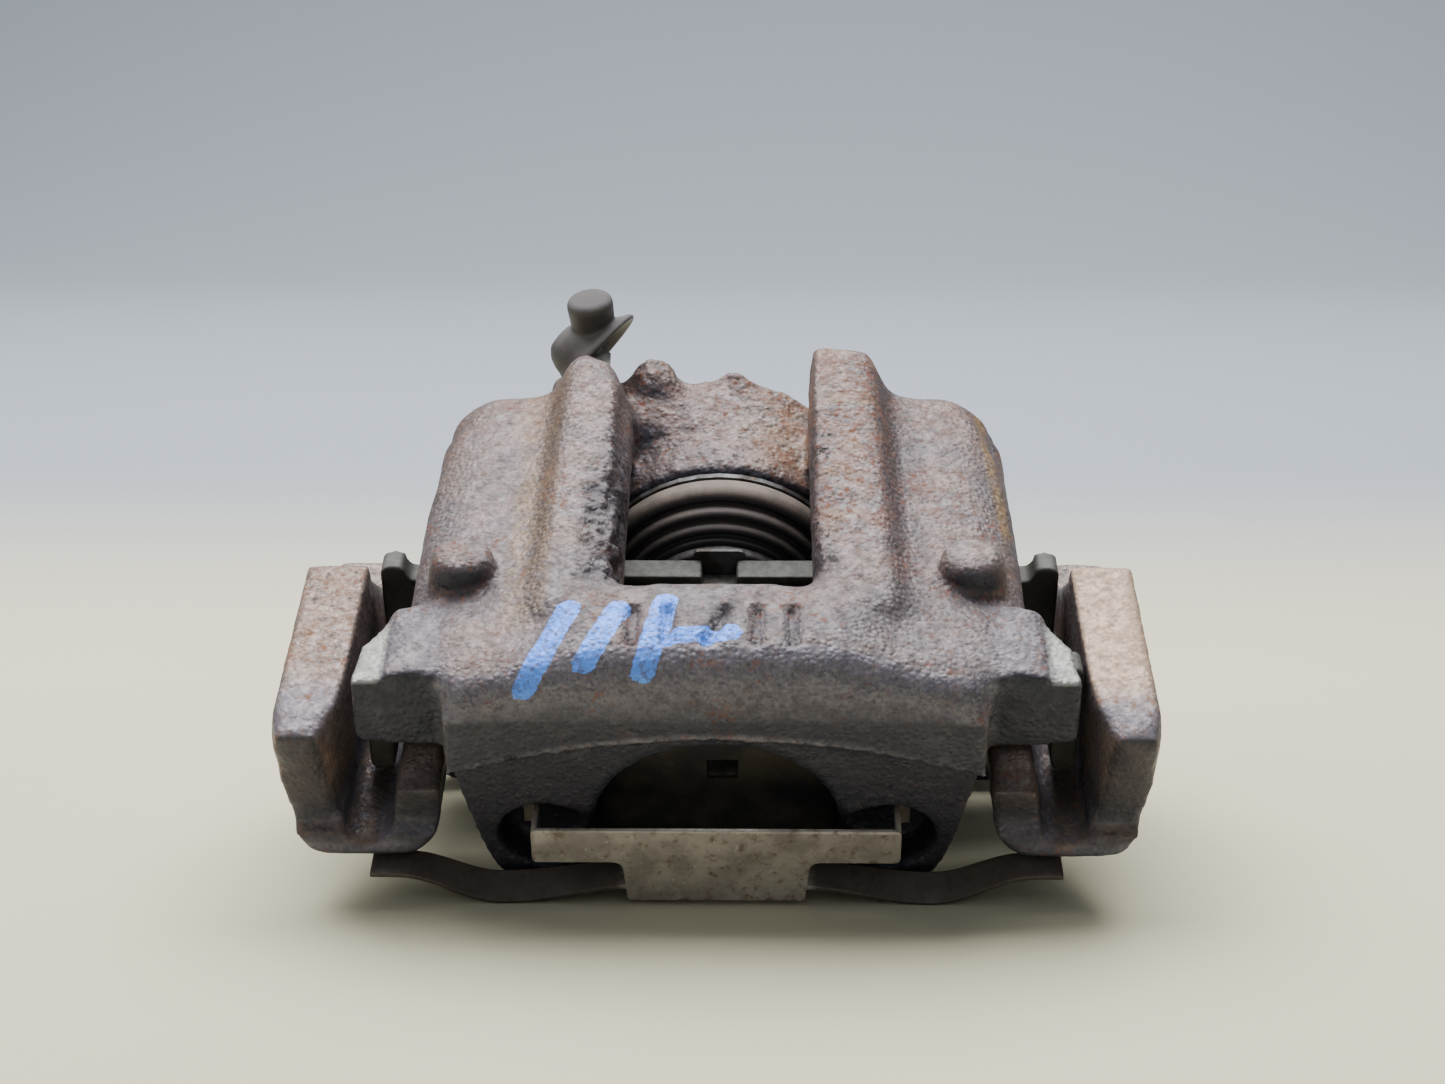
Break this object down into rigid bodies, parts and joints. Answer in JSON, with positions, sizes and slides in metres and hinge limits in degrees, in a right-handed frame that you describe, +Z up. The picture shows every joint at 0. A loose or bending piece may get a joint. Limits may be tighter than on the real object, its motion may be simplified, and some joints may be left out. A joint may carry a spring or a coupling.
{
  "type": "floating brake caliper",
  "caption": "Floating single-piston disc brake caliper in used cast iron, on its carrier with both pads fitted and a leaf retaining spring.",
  "frame": {"origin": "centre of the footprint on the surface that the caliper lies on, at the object's base", "axes": "+X across the caliper, -Y towards the outboard side with the leaf spring, +Z up; the piston axis lies in the YZ plane and rises 24 degrees towards +Y"},
  "size_m": [0.1524, 0.1214, 0.0996],
  "materials": {
    "housing_iron": "rusted sand-cast iron, dark grey-brown",
    "carrier_iron": "rusted sand-cast iron, lighter brown on top",
    "plate_paint": "worn black paint with bare edges",
    "friction_mix": "pressed friction compound with metal flecks",
    "shim_coating": "black rubber-coated damping sheet",
    "spring_steel": "dull spring steel with brown film",
    "plated_steel": "zinc-plated or ground steel",
    "rubber": "dusty black rubber",
    "cap_plastic": "black plastic"
  },
  "bodies": {
    "carrier": {"carrier": "carrier_iron", "guide_pin_left": "plated_steel", "guide_pin_right": "plated_steel"},
    "caliper": {"caliper_housing": "housing_iron", "piston_seal": "rubber", "dust_boot": "rubber", "boot_retaining_ring": "plated_steel", "outer_pad_shim": "shim_coating", "outer_pad_backing_plate": "plate_paint", "outer_pad_lining": "friction_mix", "retaining_spring": "spring_steel", "guide_bush_left": "rubber", "guide_bush_right": "rubber", "guide_pin_cap_left": "cap_plastic", "guide_pin_cap_right": "cap_plastic"},
    "piston": {"piston": "plated_steel", "inner_pad_backing_plate": "plate_paint", "inner_pad_lining": "friction_mix", "inner_pad_spring_clip": "spring_steel"},
    "bleed_screw": {"bleed_screw": "plated_steel"},
    "bleed_screw_cap": {"bleed_screw_cap": "rubber"}
  },
  "joints": [
    {"name": "caliper_slide", "type": "slide", "parent": "carrier", "child": "caliper", "axis": [0, 0.9135, 0.4067], "range_m": [-0.003, 0.0035]},
    {"name": "piston_slide", "type": "slide", "parent": "caliper", "child": "piston", "axis": [0, -0.9135, -0.4067], "range_m": [-0.001, 0.01]},
    {"name": "bleed_screw_turn", "type": "hinge", "parent": "caliper", "child": "bleed_screw", "pos_m": [-0.027, 0.03419, 0.082], "axis": [0.0499, -0.1345, 0.9897], "range_deg": [0, 180]},
    {"name": "bleed_cap_pull", "type": "slide", "parent": "caliper", "child": "bleed_screw_cap", "axis": [0.0499, -0.1345, 0.9897], "range_m": [0, 0.016]}
  ]
}
